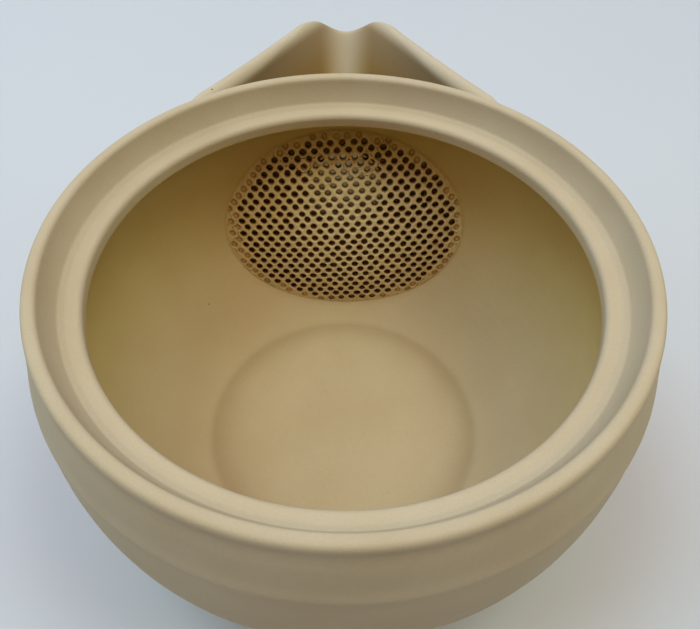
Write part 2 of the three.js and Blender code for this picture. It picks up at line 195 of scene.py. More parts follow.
def dress(piece: Piece, node: str, material: bpy.types.Material) -> None:
    """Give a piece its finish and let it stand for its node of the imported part.

    Args:
        piece: The piece's object.
        node: The node that it replaces.
        material: The finish.
    """
    piece.data.materials.append(material)
    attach(piece, "root")
    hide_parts(node)
    log.info("%s: %d faces in place of %s", piece.name, len(piece.data.polygons), node)


class Mark(Enum):
    """A share that is kept for each point of a mesh and read by its clay."""

    # Painted shade: the warm share yellows the clay in soft shade, the deep share darkens it in deep shade.
    WARM_SHADE = "shelter"
    DEEP_SHADE = "stain"


class Face(Enum):
    """A face of the spout's clay; its value is the sign of its distance from the middle surface."""

    OUTER = 1.0
    INNER = -1.0


def store_share(piece: Piece, mark: Mark, share: Array) -> None:
    """Keep a share for each point: painted shade that yellows the clay where it lies in soft shade, and
    painted shade that darkens it in deep shade.

    Args:
        piece: The object whose mesh gets the attribute.
        mark: Which share.
        share: One number for each of its points; it is cut to the range from 0 to 1.
    """
    attribute = piece.data.attributes.new(mark.value, "FLOAT", "POINT")
    attribute.data.foreach_set("value", np.ascontiguousarray(np.clip(share, 0.0, 1.0), dtype=np.float32))


def blend(first: Array, second: Array, share: Array) -> Array:
    """Go from a first value to a second in a straight line.

    Args:
        first: The value at a share of 0.
        second: The value at a share of 1.
        share: How far to go.

    Returns:
        The values between.
    """
    return first + (second - first) * share


def bezier(start: Array, bend: Array, end: Array, count: int) -> Array:
    """Points on curves that leave one point towards a second and arrive at a third from it.

    Args:
        start: First point, or an array of them.
        bend: The points towards which the curves are drawn.
        end: Last points.
        count: Number of points on each curve.

    Returns:
        The points, with the place along the curve as the first axis.
    """
    t = np.linspace(0.0, 1.0, count).reshape((-1,) + (1,) * np.ndim(start))
    return (1 - t) ** 2 * np.array(start) + 2 * t * (1 - t) * np.array(bend) + t**2 * np.array(end)


def scale_level(points: Array, scale: Array) -> Array:
    """Move points level, towards the axis or away from it, by a scale for each."""
    return points * np.stack([scale, scale, np.ones_like(scale)], axis=-1)


def fillet(corner: Array, first: Array, second: Array, behind: Array, bend_share: float, count: int) -> Array:
    """Lay a hollow fillet in a corner, from one side to the other, and close it by one point behind.

    Args:
        corner: The points along the corner.
        first: Where the fillet starts on one side of it.
        second: Where it ends on the other.
        behind: The points that close it.
        bend_share: How far its curve is drawn out of the corner.
        count: Number of points across its face.

    Returns:
        A ring of points for each point of the corner.
    """
    bend = corner + bend_share * ((first - corner) + (second - corner))
    face = bezier(first, bend, second, count)
    return np.transpose(np.concatenate([face, behind[None]]), (1, 0, 2))


def oval_arc(centre: tuple, half: tuple, turn: tuple, count: int, fullness: float = 2.0) -> Array:
    """Points on an upright oval from one angle to another.

    Args:
        centre: Radius and height of its middle.
        half: Half width and half height.
        turn: First and last angle in degrees.
        count: Number of points.
        fullness: Exponent of the superellipse, 2 for an ellipse and more for tighter corners.

    Returns:
        Radius and height of each point.
    """
    angle = np.radians(np.linspace(*turn, count))
    across, up = (np.sign(part) * np.abs(part) ** (2.0 / fullness) for part in (np.cos(angle), np.sin(angle)))
    return np.stack([centre[0] + half[0] * across, centre[1] + half[1] * up], axis=-1)


def resample(outline: Array, step: float) -> Array:
    """Space points evenly along a fine outline.

    Args:
        outline: Radius and height of the given points.
        step: Wanted distance between points.

    Returns:
        The new points, with both ends kept.
    """
    along = np.concatenate([[0.0], np.cumsum(np.linalg.norm(np.diff(outline, axis=0), axis=1))])
    count = max(2, int(round(along[-1] / step)) + 1)
    places = np.linspace(0.0, along[-1], count)
    return np.stack([np.interp(places, along, outline[:, k]) for k in range(2)], axis=-1)


def hexagon(half: float, row: float) -> Array:
    """Corners of the cell round one centre of a staggered lattice.

    Each corner is the centre of the circle through three neighbouring centres.

    Args:
        half: Half the spacing along a row.
        row: Distance between rows.

    Returns:
        Six corners, counter-clockwise from the right.
    """
    # Equally far from (0, 0), (half, row) and (2 half, 0): x = half, and y follows from the first two.
    side_y = (row**2 - half**2) / (2 * row)
    # Equally far from (0, 0), (half, row) and (-half, row): x = 0.
    top_y = (half**2 + row**2) / (2 * row)
    ring = [[half, -side_y], [half, side_y], [0.0, top_y], [-half, side_y], [-half, -side_y], [0.0, -top_y]]
    return np.array(ring)


@dataclass(frozen=True)
class PotWall:
    """The thrown wall that every other piece meets. Heights count from the base, radii from the axis."""

    rim_height: float = 54.2
    rim_radius: float = 46.0
    belly_radius: float = 48.5
    belly_drop: float = 16.95
    upper_reach: float = 52.1
    lower_reach: float = 43.7
    lower_fullness: float = 2.14
    thickness: float = 2.7
    outer_inset: float = 0.06
    ridge_drop: float = 9.4
    ridge_height: float = 0.3
    ridge_above: float = 1.5
    ridge_below: float = 0.9
    slope_step: float = 0.1
    # Painted shade: how much warm shade the inside takes on the floor, and the heights where it rises and
    # fades out.
    floor_warm_shade: float = 0.3
    warm_shade_heights: tuple = (5.0, 40.0)
    warm_shade_end_drops: tuple = (6.4, 5.0)

    @property
    def belly_height(self) -> float:
        """Height of the widest point."""
        return self.rim_height - self.belly_drop

    def radius(self, height: Array, inset: float = 0.0) -> Array:
        """Radius of the wall: an ellipse above the belly and a fuller superellipse below it.

        Args:
            height: Heights above the base.
            inset: How far inside the outer face.

        Returns:
            The radii.
        """
        height = np.asarray(height, float)
        above = np.clip((height - self.belly_height) / self.upper_reach, 0.0, 1.0)
        below = np.clip((self.belly_height - height) / (self.lower_reach - inset), 0.0, 1.0)
        upper = np.sqrt(1.0 - above**2)
        lower = (1.0 - below**self.lower_fullness) ** (1.0 / self.lower_fullness)
        return (self.belly_radius - inset) * np.where(height > self.belly_height, upper, lower)

    def slope(self, height: float, inset: float) -> float:
        """Rise of the wall over its growth in radius, at a height below the belly."""
        low, high = height - self.slope_step, height + self.slope_step
        return 2.0 * self.slope_step / float(self.radius(high, inset) - self.radius(low, inset))

    def outside(self, height: Array) -> Array:
        """Radius of the outer face with the soft ridge that the thrower's rib left on the shoulder.

        Args:
            height: Heights above the base.

        Returns:
            The radii, raised by a bell curve that is slow above the ridge and quick below it.
        """
        away = np.asarray(height, float) - (self.rim_height - self.ridge_drop)
        spread = np.where(away > 0.0, self.ridge_above, self.ridge_below)
        return self.radius(height, self.outer_inset) + self.ridge_height * np.exp(-((away / spread) ** 2))

    def proud(self, points: Array, inset: float = 0.0, sunk: float = 0.0) -> Array:
        """How far points lie outside a face of the wall.

        Args:
            points: The points, with their places as the last axis.
            inset: How far inside the outer face that face lies.
            sunk: How much less its radius is taken to be.

        Returns:
            The distances, below zero for a point inside.
        """
        return np.hypot(points[..., 0], points[..., 1]) - (self.radius(points[..., 2], inset) - sunk)

    def onto(self, points: Array, inset: float = 0.0) -> Array:
        """Move points level, away from the axis or towards it, to a face of the wall.

        Args:
            points: The points, with their places as the last axis.
            inset: How far inside the outer face that face lies.

        Returns:
            The moved points.
        """
        scale = self.radius(points[..., 2], inset) / np.hypot(points[..., 0], points[..., 1])
        return scale_level(points, scale)

    def shelter(self, height: Array) -> Array:
        """How much painted warm shade the inside takes: least on the floor, most under the mouth, not at all
        on the lid seat.

        Args:
            height: Heights above the base.

        Returns:
            From 0 to 1.
        """
        start, end = (self.rim_height - drop for drop in self.warm_shade_end_drops)
        risen = blend(self.floor_warm_shade, 1.0, smooth_step(height, *self.warm_shade_heights))
        return risen * (1.0 - smooth_step(height, start, end))


@dataclass
class BodyBowl:
    """The thrown body: base, wall, rounded rim, cove, lid ledge, mouth, inner wall, floor and pour hole."""

    wall: PotWall
    base_round: float = 1.2
    base_turn: tuple = (-90.0, -15.0)
    shoulder_drop: float = 2.9
    shoulder_bend: tuple = (0.1, -0.5)
    neck_drop: float = 1.0
    neck_depth: float = 0.02
    rim_round: float = 1.18
    rim_rise: float = 1.48
    rim_turn: tuple = (-12.0, 145.0)
    rim_fullness: float = 2.8
    cove_hollow: float = 0.07
    step_radius: float = 42.15
    step_drop: float = 2.75
    ledge_radius: float = 41.25
    ledge_rise: float = 0.2
    ledge_bend: float = 0.7
    ledge_drop: float = 3.5
    mouth_radius: float = 38.95
    mouth_round: float = 0.95
    mouth_depth: float = 2.3
    mouth_turn: tuple = (90.0, 180.0)
    undercut_bend: tuple = (1.2, 1.0)
    throat_drop: float = 8.8
    floor_height: float = 4.0
    floor_corner: float = 6.5
    crease_radius: float = 26.2
    crease_depth: float = 0.3
    crease_width: float = 3.5
    crease_slope: float = 16.0
    crease_bend: float = 0.35
    # Painted shade in the floor's crease: its strength, and its width outside the crease as a share.
    crease_shade: float = 0.28
    crease_shade_outside: float = 0.22
    pour_hole_radius: float = 8.25
    pour_hole_drop: float = 25.0
    pour_hole_sides: int = 64
    cutter_ends: tuple = (-9.0, 6.0)
    ring_depth: float = 0.035
    ring_pitch: float = 1.9
    rings_start: tuple = (6.0, 14.0)
    rings_end: tuple = (40.0, 46.0)
    sides: int = 288
    wall_points: int = 220
    edge_points: int = 12
    shoulder_points: int = 10
    rim_points: int = 60
    cove_points: int = 24
    ledge_points: int = 8
    mouth_points: int = 14
    undercut_points: int = 20
    foot_points: int = 24
    rise_points: int = 12
    flat_step: float = 3.0
    wall_step: float = 0.75
    under_step: float = 0.5
    floor_step: float = 0.4
    round_step: float = 0.3
    rim_step: float = 0.22
    edge_step: float = 0.2
    mouth_step: float = 0.14
    sharp_angle: float = 50.0

    def profile(self) -> Array:
        """Half section from the middle of the base up the outside, over the rim and back to the axis inside.

        Returns:
            Radius and height of its points, closer together on the rim and the lid seat.
        """
        parts = self.side_outlines()
        parts += self.rim_outlines(parts[-1][0][-1])
        parts += self.seat_outlines()
        parts += self.inner_outlines(parts[-1][0][-1])
        pieces = [resample(outline, step) for outline, step in parts]
        return np.concatenate([pieces[0]] + [piece[1:] for piece in pieces[1:]])

    def side_outlines(self) -> Outlines:
        """The flat base, its rounded edge and the outer wall up to the shoulder.

        Returns:
            Each outline with the spacing of its points.
        """
        middle = (float(self.wall.radius(self.base_round)) - self.base_round, self.base_round)
        edge = oval_arc(middle, (self.base_round,) * 2, self.base_turn, self.edge_points)
        shoulder = self.wall.rim_height - self.shoulder_drop
        heights = np.linspace(2.0 * self.base_round, shoulder, self.wall_points)
        outer = np.stack([self.wall.outside(heights), heights], axis=-1)
        base = np.stack([np.zeros(2), edge[0]])
        side = np.concatenate([edge[-1:], outer])
        return [(base, self.flat_step), (edge, self.round_step), (side, self.wall_step)]

    def rim_outlines(self, start: Array) -> Outlines:
        """The shoulder's rise to the neck, the rounded rim and the shallow cove inside it.

        Args:
            start: Radius and height where the outer wall ends.

        Returns:
            Each outline with the spacing of its points.
        """
        top = self.wall.rim_height
        neck_height = top - self.neck_drop
        neck_radius = float(self.wall.radius(neck_height, self.wall.outer_inset)) - self.neck_depth
        neck = np.array([neck_radius, neck_height])
        shoulder = bezier(start, neck + self.shoulder_bend, neck, self.shoulder_points)
        middle = (self.wall.rim_radius - self.rim_round, top)
        half = (self.rim_round, self.rim_rise)
        rim = oval_arc(middle, half, self.rim_turn, self.rim_points, self.rim_fullness)
        step_top = (self.step_radius, top - self.step_drop)
        chord = np.array(step_top) - rim[-1]
        hollow = (rim[-1] + step_top) / 2 + np.array([-chord[1], chord[0]]) * self.cove_hollow
        cove = bezier(rim[-1], hollow, step_top, self.cove_points)
        rim = np.concatenate([[neck], rim])
        return [(shoulder, self.round_step), (rim, self.rim_step), (cove, self.round_step)]

    def seat_outlines(self) -> Outlines:
        """The small step under the cove, the ledge that carries a lid and the rounded edge of the mouth.

        Returns:
            Each outline with the spacing of its points.
        """
        ledge = self.wall.rim_height - self.ledge_drop
        seat = (self.ledge_radius, ledge + self.ledge_rise)
        step = np.array([(self.step_radius, self.wall.rim_height - self.step_drop), seat])
        middle = (self.mouth_radius + self.mouth_round, ledge - self.mouth_round)
        mouth = oval_arc(middle, (self.mouth_round,) * 2, self.mouth_turn, self.mouth_points)
        bend = (self.ledge_radius - self.ledge_bend, ledge)
        flat = bezier(seat, bend, mouth[0], self.ledge_points)
        return [(step, self.edge_step), (flat, self.round_step), (mouth, self.mouth_step)]

    def inner_outlines(self, start: Array) -> Outlines:
        """The upright edge of the mouth, the hollow under it, the inner wall and the floor.

        Args:
            start: Radius and height where the mouth's rounding ends.

        Returns:
            Each outline with the spacing of its points.
        """
        wall = self.wall
        foot = (self.mouth_radius, wall.rim_height - self.ledge_drop - self.mouth_depth)
        throat = wall.rim_height - self.throat_drop
        bend_across, bend_up = self.undercut_bend
        bend = (self.mouth_radius + bend_across, (foot[1] + throat) / 2 + bend_up)
        end = (float(wall.radius(throat, wall.thickness)), throat)
        under = bezier(foot, bend, end, self.undercut_points)
        heights = np.linspace(throat, self.floor_height + self.floor_corner, self.wall_points)
        inner = np.stack([wall.radius(heights, wall.thickness), heights], axis=-1)
        edge = np.stack([start, under[0]])
        floor = self.floor_sweep(inner[-1])
        upper = [(edge, self.under_step), (under, self.under_step)]
        return upper + [(inner, self.wall_step), (floor, self.floor_step)]

    def floor_sweep(self, start: Array) -> Array:
        """Curve from the inner wall down to a soft crease, up out of it and straight in to the axis.

        Args:
            start: Radius and height where the wall ends.

        Returns:
            Radius and height of its points.
        """
        low = np.array([self.crease_radius, self.floor_height - self.crease_depth])
        steep = self.wall.slope(start[1], self.wall.thickness)
        gentle = np.tan(np.radians(self.crease_slope))
        run = (start[1] - low[1] - gentle * (start[0] - low[0])) / (steep - gentle)
        foot = bezier(start, (start[0] - run, start[1] - steep * run), low, self.foot_points)
        inner = (self.crease_radius - self.crease_width, self.floor_height)
        bend = (low[0] - self.crease_bend * self.crease_width, self.floor_height)
        rise = bezier(low, bend, inner, self.rise_points)
        return np.concatenate([foot, rise[1:], [[0.0, self.floor_height]]])

    def waver(self, height: Array, angle: Array) -> Array:
        """Rings of throwing: a wave along a spiral that climbs one pitch a turn, faded in and out.

        Args:
            height: Heights above the base.
            angle: Angles round the axis.

        Returns:
            What the rings add to the radius.
        """
        spiral = height / self.ring_pitch + angle / (2.0 * np.pi)
        wave = self.ring_depth * np.sin(2.0 * np.pi * spiral) * smooth_step(height, *self.rings_start)
        return wave * (1.0 - smooth_step(height, *self.rings_end))

    def build(self) -> Piece:
        """Turn the profile about the axis, add the faint rings of throwing and cut the pour hole.

        Returns:
            The body's object.
        """
        profile = self.profile()
        angle = np.linspace(0.0, 2.0 * np.pi, self.sides, endpoint=False)
        radius, height = profile[1:-1, 0][:, None], profile[1:-1, 1][:, None]
        radius = radius + self.waver(height, angle[None, :])
        points = np.stack([radius * np.cos(angle), radius * np.sin(angle), height + 0.0 * angle], axis=-1)
        poles = np.array([[0.0, 0.0, profile[0, 1]], [0.0, 0.0, profile[-1, 1]]])
        rows = len(points)
        ring = np.arange(self.sides)
        after = (ring + 1) % self.sides
        last = (rows - 1) * self.sides
        low = np.full_like(ring, rows * self.sides)
        base_fan = np.stack([low, after, ring], axis=-1)
        floor_fan = np.stack([low + 1, last + ring, last + after], axis=-1)
        everything = np.concatenate([points.reshape(-1, 3), poles])
        quads = grid_faces(rows, self.sides, False, True)
        body = make_object("thrown_body", everything, quads, np.concatenate([base_fan, floor_fan]))
        self.cut_pour_hole(body)
        self.mark(body)
        return body

    def cut_pour_hole(self, body: Piece) -> None:
        """Cut the round pour hole through the back wall.

        Args:
            body: The body's object, whose mesh is replaced by the cut one.
        """
        sides = self.pour_hole_sides
        angle = np.linspace(0.0, 2.0 * np.pi, sides, endpoint=False)
        x = self.pour_hole_radius * np.cos(angle)
        z = self.wall.rim_height - self.pour_hole_drop + self.pour_hole_radius * np.sin(angle)
        ends = [np.full(sides, self.wall.belly_radius + end) for end in self.cutter_ends]
        rings = np.concatenate([np.stack([x, y, z], axis=-1) for y in ends])
        mesh = bpy.data.meshes.new("pour_hole_cutter")
        lids = np.arange(2 * sides).reshape(2, sides)
        faces = grid_faces(2, sides, False, True).tolist() + lids.tolist()
        mesh.from_pydata((rings * MM).tolist(), [], faces)
        cutter = bpy.data.objects.new("pour_hole_cutter", mesh)
        bpy.context.scene.collection.objects.link(cutter)
        weld(cutter)
        cut = body.modifiers.new("pour_hole", "BOOLEAN")
        cut.object = cutter
        cut.operation = "DIFFERENCE"
        cut.solver = "EXACT"
        apply_modifiers(body)
        bpy.data.objects.remove(cutter)
        bpy.data.meshes.remove(mesh)
        body.data.set_sharp_from_angle(angle=np.radians(self.sharp_angle))

    def mark(self, body: Piece) -> None:
        """Paint warm shade on the inside and dark shade into the floor's crease, by a bell curve that is
        narrow outside the crease.

        Args:
            body: The body's object.
        """
        place = mesh_points(body)
        radius, height = np.hypot(place[:, 0], place[:, 1]), place[:, 2]
        inner = radius < self.wall.radius(height) - 0.5 * self.wall.thickness
        inner &= height > 0.5 * self.floor_height
        store_share(body, Mark.WARM_SHADE, np.where(inner, self.wall.shelter(height), 0.0))
        outside_width = self.crease_shade_outside * self.crease_width
        spread = np.where(radius < self.crease_radius, self.crease_width, outside_width)
        away = (radius - self.crease_radius) / spread
        store_share(body, Mark.DEEP_SHADE, np.where(inner, self.crease_shade * np.exp(-(away**2)), 0.0))


@dataclass(frozen=True)
class TroughSection:
    """Sizes of the spout's section at given reaches, one array each."""

    share: Array
    half_width: Array
    edge_height: Array
    depth: Array
    edge: Array
    floor: Array


@dataclass
class Spout:
    """The open beak on the back wall: a trough whose two sides run in to a soft, two-cornered lip.

    A point of it has a reach, which is its distance from the pot's axis along the spout, and a turn across
    the section, which is 0 at the left edge and half a turn at the right one.
    """

    wall: PotWall
    reach_past_rim: float = 24.0
    tip_half_width: float = 7.3
    splay: float = 29.1
    side_curve: float = 143.0
    top_drop: float = 0.2
    lip_floor_drop: float = 4.1
    root_floor_drop: float = 35.4
    floor_sweep: float = 1.1
    root_ease: float = 0.8
    lip_edge: float = 2.6
    root_edge: float = 4.2
    lip_floor: float = 3.4
    root_floor: float = 5.4
    lip_section: float = 3.2
    root_section: float = 1.2
    section_fade: float = 4.0
    section_fade_inside: float = 1.2
    least_sine: float = 0.1
    lip_corner: float = 1.8
    corner_back: float = 1.5
    corner_power: int = 6
    lip_round: float = 1.3
    lip_turn: float = 88.0
    sunk: float = 0.8
    wing_start: float = 33.0
    wing_end: float = 45.0
    wing_draw: float = 1.25
    wing_depth: float = 0.5
    search_margin: float = 3.0
    lip_margin: float = 1.0
    soft_length: float = 11.0
    soft_rounds: int = 45
    soft_factor: float = 0.5
    soft_levels: int = 32
    # Painted shade on the trough: a lighter band is left in the middle, and the sides and the deep part take
    # warm and dark shade.
    bright_band: tuple = (0.0, 6.0)
    inner_fade: tuple = (-0.4, 0.6)
    warm_shade_depths: tuple = (0.5, 8.0)
    shade_depths: tuple = (-1.4, 0.6)
    deepest_shade_depths: tuple = (9.0, 17.0)
    middle_shade: float = 0.05
    deepest_shade: float = 0.9
    turns: int = 97
    reaches: int = 120
    edge_points: int = 13
    lip_points: int = 15
    weld_distance: float = 0.002

    @property
    def tip(self) -> float:
        """Distance of the lip from the pot's axis."""
        return self.wall.rim_radius + self.reach_past_rim

    @property
    def first_reach(self) -> float:
        """A reach at which even the ends of the sides are still inside the wall."""
        return self.wall.rim_radius * np.cos(np.radians(self.wing_end + self.search_margin))

    @property
    def last_reach(self) -> float:
        """A reach near the lip, well outside the wall."""
        return self.tip - self.lip_margin

    def section(self, reach: Array) -> TroughSection:
        """Sizes of the trough's section at a reach: it hangs between two edges and deepens towards the body.

        The share of the way to the root eases out to 1 by a parabola, so the underside runs into the wall.

        Args:
            reach: The reaches.

        Returns:
            The section's sizes.
        """
        from_tip = self.tip - reach
        share = np.clip(from_tip / (self.tip - self.wall.belly_radius), 0.0, None)
        past = np.clip((share - self.root_ease) / (2.0 * (1.0 - self.root_ease)), 0.0, 1.0)
        share = np.minimum(share, self.root_ease) + (1.0 - self.root_ease) * (2.0 * past - past**2)
        edge = blend(self.lip_edge, self.root_edge, share)
        edge_drop = self.top_drop + edge / 2
        straight = self.tip_half_width + np.tan(np.radians(self.splay)) * from_tip
        return TroughSection(
            share=share,
            half_width=straight + from_tip**2 / (2 * self.side_curve),
            edge_height=self.wall.rim_height - edge_drop,
            depth=blend(self.lip_floor_drop, self.root_floor_drop, share**self.floor_sweep) - edge_drop,
            edge=edge,
            floor=blend(self.lip_floor, self.root_floor, share),
        )

    def power(self, size: TroughSection, face: Face) -> Array:
        """Exponent of a face's section: the inner face keeps the lip's narrow valley for longer.

        Args:
            size: The section's sizes.
            face: Which face.

        Returns:
            The exponents.
        """
        fade = self.section_fade if face is Face.OUTER else self.section_fade_inside
        return blend(self.root_section, self.lip_section, (1.0 - size.share) ** fade)

    def normal(self, size: TroughSection, turn: Array, face: Face) -> tuple:
        """Outward direction across the section, from the slope of its curve.

        Args:
            size: The section's sizes.
            turn: Places across the section.
            face: Which face.

        Returns:
            Its sideways and its upward part.
        """
        power = self.power(size, face)
        steep = size.depth * power * np.maximum(np.sin(turn), self.least_sine) ** (power - 2.0)
        x, z = -np.cos(turn) * steep, -size.half_width + 0.0 * turn
        length = np.hypot(x, z)
        return x / length, z / length

    def surface(self, reach: Array, turn: Array, face: Face, fullness: Array = 1.0) -> Array:
        """Points on the outer or the inner face: a power of the sine of the turn hangs between the edges.

        Args:
            reach: The reach of each point.
            turn: The turn of each point.
            face: Which face.
            fullness: Share of the thickness that is left, less than 1 on the rounding of the lip.

        Returns:
            The points.
        """
        size = self.section(reach)
        nx, nz = self.normal(size, turn, face)
        thickness = blend(size.edge, size.floor, np.sin(turn) ** 2)
        offset = face.value * thickness / 2 * fullness
        x = -np.cos(turn) * size.half_width + nx * offset
        z = size.edge_height - np.sin(turn) ** self.power(size, face) * size.depth + nz * offset
        return np.stack([x, reach + 0.0 * x, z], axis=-1)

    def edge_round(self, reach: Array, fullness: Array, around: Array) -> Array:
        """Points on the rounded top edge on the right.

        Args:
            reach: The reach of each point.
            fullness: Share of the thickness that is left.
            around: Angle from the outer face, over the top, to the inner one.

        Returns:
            The points.
        """
        size = self.section(reach)
        edge = np.full_like(reach, np.pi)
        outer, inner = (np.arctan2(*self.normal(size, edge, face)[::-1]) for face in Face)
        angle = outer + around * (1.0 + (inner - outer) / np.pi)
        radius = size.edge / 2 * fullness
        x = size.half_width + radius * np.cos(angle)
        z = size.edge_height + radius * np.sin(angle)
        return np.stack([x, reach + 0.0 * x, z], axis=-1)

    def start_reach(self, turn: Array, face: Face) -> Array:
        """Reach at which a line along a face comes out of the body's wall, a little under its outer face.

        Args:
            turn: Places across the section.
            face: Which face.

        Returns:
            The reaches.
        """

        def outside(reach: Array) -> Array:
            """How far a point lies outside the sunk wall."""
            return self.wall.proud(self.surface(reach, turn, face), sunk=self.sunk)

        return bisect(outside, np.full_like(turn, self.first_reach), np.full_like(turn, self.last_reach))

    def end_reach(self, turn: Array, face: Face) -> Array:
        """Where a line along a face ends: a quarter circle rounds each corner, set back on the outer face.

        Args:
            turn: Places across the section.
            face: Which face.

        Returns:
            The reaches.
        """
        past = np.abs(np.cos(turn)) * self.tip_half_width - (self.tip_half_width - self.lip_corner)
        share = np.clip(past / self.lip_corner, 0.0, 1.0)
        end = self.tip - self.lip_corner * (1.0 - np.sqrt(1.0 - share**2))
        back = self.corner_back if face is Face.OUTER else 0.0
        return end - back * np.abs(np.cos(turn)) ** self.corner_power

    def blend_wings(self, points: Array) -> Array:
        """Draw the two ends of the sides in to the body, between two angles round the axis.

        Args:
            points: The spout's points.

        Returns:
            The points. What stands proud of the wall is scaled by a share that falls from 1 to just under 0.
        """
        azimuth = np.degrees(np.arctan2(np.abs(points[..., 0]), points[..., 1]))
        share = 1.0 - self.wing_draw * smooth_step(azimuth, self.wing_start, self.wing_end)
        radius = np.hypot(points[..., 0], points[..., 1])
        base = self.wall.radius(points[..., 2]) - self.wing_depth
        proud = np.maximum(radius - base, 0.0)
        scale = np.where(azimuth > self.wing_start, (np.minimum(radius, base) + proud * share) / radius, 1.0)
        return scale_level(points, scale)

    def build(self) -> Piece:
        """Carry the section from the wall to the lip, thin it over the lip's rounding and close both ends.

        Returns:
            The spout's object.
        """
        turn = np.linspace(0.0, np.pi, self.turns)
        around = np.linspace(0.0, np.pi, self.edge_points + 2)[None, 1:-1]
        lip = np.radians(np.linspace(0.0, self.lip_turn, self.lip_points + 1))[1:]
        share = np.concatenate([np.linspace(0.0, 1.0, self.reaches), np.ones_like(lip)])[:, None]
        fullness = np.concatenate([np.ones(self.reaches), np.cos(lip)])[:, None]
        past = np.concatenate([np.zeros(self.reaches), self.lip_round * np.sin(lip)])[:, None]

        def reach_grid(face: Face) -> Array:
            """Reaches of a fan of lines, one column each."""
            start, end = self.start_reach(turn, face), self.end_reach(turn, face) - self.lip_round
            return start[None, :] + (end - start)[None, :] * share + past

        outer_reach, inner_reach = (reach_grid(face) for face in Face)
        outer = self.surface(outer_reach, turn[None, :], Face.OUTER, fullness)
        inner = self.surface(inner_reach, turn[None, :], Face.INNER, fullness)[:, ::-1]
        mix = np.sqrt(around / np.pi)
        edge_reach = outer_reach[:, -1:] * (1.0 - mix) + inner_reach[:, -1:] * mix
        right = self.edge_round(edge_reach, fullness, around)
        left = right[:, ::-1] * np.array([-1.0, 1.0, 1.0])
        ring = self.blend_wings(np.concatenate([outer, right, inner, left], axis=1))
        rows, columns = ring.shape[:2]
        caps = [self.cap(row, columns) for row in (0, rows - 1)]
        quads = np.concatenate([grid_faces(rows, columns, False, True)] + caps)
        piece = make_object("beak_spout", ring.reshape(-1, 3), quads)
        weld(piece, self.weld_distance)
        self.soften_lip(piece)
        self.mark(piece)
        return piece

    def cap(self, row: int, columns: int) -> Array:
        """Close an end with a strip of quads between its outer and its inner face.

        Args:
            row: The row of points at that end.
            columns: Number of points in a row.

        Returns:
            The quads.
        """
        start = row * columns
        half = self.turns + self.edge_points
        outer = start + np.arange(self.turns)
        inner = start + half + np.arange(self.turns)[::-1]
        strip = np.stack([outer[:-1], outer[1:], inner[1:], inner[:-1]], axis=-1)
        edge = start + self.turns + np.arange(-1, self.edge_points + 1)
        left = np.concatenate([edge[:-1] + half, [start]])
        return np.concatenate([strip, self.fold(edge), self.fold(left)])

    def fold(self, points: Array) -> Array:
        """Close a half round by quads that join its two sides in pairs.

        Args:
            points: Point numbers along the half round, an odd count.

        Returns:
            The quads; the last one is folded to a triangle at the top.
        """
        count = len(points)
        low = np.arange(count // 2)
        a, b = points[low], points[low + 1]
        c, d = points[count - 2 - low], points[count - 1 - low]
        return np.stack([a, b, c, d], axis=-1)

    def soften_lip(self, piece: Piece) -> None:
        """Smooth the points near the lip, so that its two corners run into the sides.

        Args:
            piece: The spout's object.
        """
        reach = mesh_points(piece)[:, 1]
        share = smooth_step(reach, self.tip - self.soft_length, self.tip - 0.5 * self.soft_length)
        group = piece.vertex_groups.new(name="lip")
        levels = self.soft_levels
        for level in range(1, levels + 1):
            chosen = np.flatnonzero((share > (level - 1) / levels) & (share <= level / levels))
            group.add(chosen.tolist(), level / levels, "REPLACE")
        smooth = piece.modifiers.new("lip", "SMOOTH")
        smooth.vertex_group = "lip"
        smooth.factor = self.soft_factor
        smooth.iterations = self.soft_rounds
        apply_modifiers(piece)
        piece.vertex_groups.clear()

    def mark(self, piece: Piece) -> None:
        """Paint warm and dark shade on the trough's two sides and deep down it, and leave a lighter band
        between them.

        Args:
            piece: The spout's object.
        """
        place = mesh_points(piece)
        size = self.section(place[:, 1])
        below = size.edge_height - place[:, 2]
        across = np.clip(np.abs(place[:, 0]) / size.half_width, 0.0, 1.0)
        middle = size.edge_height - (1.0 - across**2) ** (0.5 * self.power(size, Face.OUTER)) * size.depth
        inner = smooth_step(place[:, 2] - middle, *self.inner_fade)
        sides = smooth_step(np.abs(place[:, 0]), *self.bright_band)
        store_share(piece, Mark.WARM_SHADE, inner * sides * smooth_step(below, *self.warm_shade_depths))
        deep = self.deepest_shade * smooth_step(below, *self.deepest_shade_depths)
        stain = sides + (1.0 - sides) * np.maximum(self.middle_shade, deep)
        store_share(piece, Mark.DEEP_SHADE, inner * stain * smooth_step(below, *self.shade_depths))


